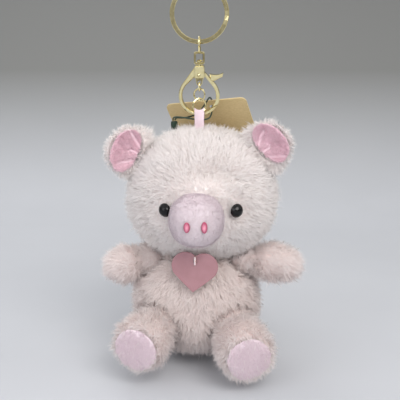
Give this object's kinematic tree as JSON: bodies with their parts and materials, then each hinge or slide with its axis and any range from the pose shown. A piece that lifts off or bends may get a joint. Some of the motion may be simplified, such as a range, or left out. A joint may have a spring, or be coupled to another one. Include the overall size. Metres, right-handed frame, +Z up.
{
  "type": "plush pig bag charm",
  "caption": "Small stuffed pig bag charm: its ribbon hangs by jump rings and a round swivel clasp from a flat split ring, with a heart tag, a card tag on a string, soft ears and jointed limbs",
  "frame": {"origin": "centre of the split key ring that everything hangs from", "axes": "+Z up along the hang line, -Y the way the pig's face looks, +X to a viewer's right"},
  "size_m": [0.1044, 0.1016, 0.1938],
  "materials": {
    "gold": "champagne-gold plating, polished",
    "ribbon": "pale pink grosgrain ribbon",
    "white_fur": "long soft plush pile, white with a pink cast",
    "pink_fur": "long soft plush pile, pale pink",
    "pink_plush": "short soft plush pile, lilac pink",
    "stitching": "satin-stitched embroidery thread",
    "black_plastic": "moulded, highly polished",
    "clear_plastic": "moulded, translucent",
    "tag_leather": "smooth imitation leather, semi-gloss",
    "card": "uncoated kraft board, matt",
    "cord": "waxed round cord and its moulded lock, dark green"
  },
  "bodies": {
    "key_ring": {"key_ring": "gold"},
    "yoke": {"swivel_yoke": "gold"},
    "clasp": {"clasp_body": "gold", "swivel_pin": "gold", "gate_rivet": "gold"},
    "gate": {"clasp_gate": "gold"},
    "link": {"small_link": "gold"},
    "upper_ring": {"jump_ring_upper": "gold"},
    "lower_ring": {"jump_ring_lower": "gold"},
    "head": {"head": "white_fur", "ribbon_loop": "ribbon", "snout": "pink_plush", "nostril_left": "stitching", "nostril_right": "stitching", "eye_left": "black_plastic", "eye_right": "black_plastic", "eye_washer_left": "clear_plastic", "eye_washer_right": "clear_plastic", "tag_string": "cord", "string_lock": "cord"},
    "ear_left": {"ear_left": "white_fur", "ear_lining_left": "pink_plush"},
    "ear_right": {"ear_right": "white_fur", "ear_lining_right": "pink_plush"},
    "torso": {"torso": "white_fur", "tail": "pink_plush", "tag_pin": "clear_plastic"},
    "arm_left": {"arm_left": "pink_fur"},
    "arm_right": {"arm_right": "pink_fur"},
    "leg_left": {"leg_left": "pink_fur", "foot_pad_left": "pink_plush"},
    "leg_right": {"leg_right": "pink_fur", "foot_pad_right": "pink_plush"},
    "heart_tag": {"heart_tag": "tag_leather"},
    "hang_tag": {"hang_tag": "card"}
  },
  "joints": [
    {"name": "ring_swing", "type": "hinge", "parent": "key_ring", "child": "yoke", "pos_m": [0, 0, -0.01388], "axis": [1, 0, 0], "range_deg": [-60, 60]},
    {"name": "clasp_swivel", "type": "hinge", "parent": "yoke", "child": "clasp", "pos_m": [0, 0, -0.02573], "axis": [0, 0, 1], "continuous": true},
    {"name": "gate_open", "type": "hinge", "parent": "clasp", "child": "gate", "pos_m": [-0.0004, 0.00088, -0.03024], "axis": [0, 0.9816, 0.1908], "range_deg": [0, 7], "stiffness_Nm_per_rad": 0.02, "springref_deg": -8.59},
    {"name": "link_swing", "type": "hinge", "parent": "clasp", "child": "link", "pos_m": [0, 0, -0.03422], "axis": [0, 1, 0], "range_deg": [-10, 10]},
    {"name": "upper_ring_swing", "type": "hinge", "parent": "link", "child": "upper_ring", "pos_m": [0, 0, -0.03737], "axis": [-0.9063, 0.4226, 0], "range_deg": [-1, 7]},
    {"name": "lower_ring_swing", "type": "hinge", "parent": "upper_ring", "child": "lower_ring", "pos_m": [0, 0, -0.04238], "axis": [-0.866, -0.5, 0], "range_deg": [-1, 6]},
    {"name": "pig_swing", "type": "hinge", "parent": "lower_ring", "child": "head", "pos_m": [0, 0, -0.04967], "axis": [-0.866, -0.5, 0], "range_deg": [-2, 3]},
    {"name": "neck_turn", "type": "hinge", "parent": "head", "child": "torso", "pos_m": [0.0012, 0.002, -0.122], "axis": [0, 0, 1], "range_deg": [-20, 20], "stiffness_Nm_per_rad": 0.03},
    {"name": "ear_left_fold", "type": "hinge", "parent": "head", "child": "ear_left", "pos_m": [-0.03008, -0.007, -0.0709], "axis": [0.3978, 0.0846, 0.9135], "range_deg": [-15, 15], "stiffness_Nm_per_rad": 0.01},
    {"name": "ear_right_fold", "type": "hinge", "parent": "head", "child": "ear_right", "pos_m": [0.03118, -0.007, -0.06941], "axis": [0.6716, -0.1184, -0.7314], "range_deg": [-15, 15], "stiffness_Nm_per_rad": 0.01},
    {"name": "arm_left_lift", "type": "hinge", "parent": "torso", "child": "arm_left", "pos_m": [-0.0256, -0.00099, -0.128], "axis": [0, 1, 0], "range_deg": [-2, 7], "stiffness_Nm_per_rad": 0.02},
    {"name": "arm_right_lift", "type": "hinge", "parent": "torso", "child": "arm_right", "pos_m": [0.02268, -0.00099, -0.12624], "axis": [0, -1, 0], "range_deg": [-3, 5], "stiffness_Nm_per_rad": 0.02},
    {"name": "leg_left_fold", "type": "hinge", "parent": "torso", "child": "leg_left", "pos_m": [-0.02084, -0.01501, -0.16048], "axis": [-1, 0, 0], "range_deg": [-8, 12], "stiffness_Nm_per_rad": 0.04},
    {"name": "leg_right_fold", "type": "hinge", "parent": "torso", "child": "leg_right", "pos_m": [0.0186, -0.01501, -0.16144], "axis": [-1, 0, 0], "range_deg": [-8, 12], "stiffness_Nm_per_rad": 0.04},
    {"name": "heart_tag_swing", "type": "hinge", "parent": "torso", "child": "heart_tag", "pos_m": [-0.0003, -0.02634, -0.1218], "axis": [0, 1, 0], "range_deg": [-15, 11]},
    {"name": "hang_tag_lift", "type": "hinge", "parent": "head", "child": "hang_tag", "pos_m": [0.006, 0.0115, -0.0475], "axis": [0.9816, -0.1908, 0], "range_deg": [0, 16], "deforming": ["tag_string"]}
  ]
}
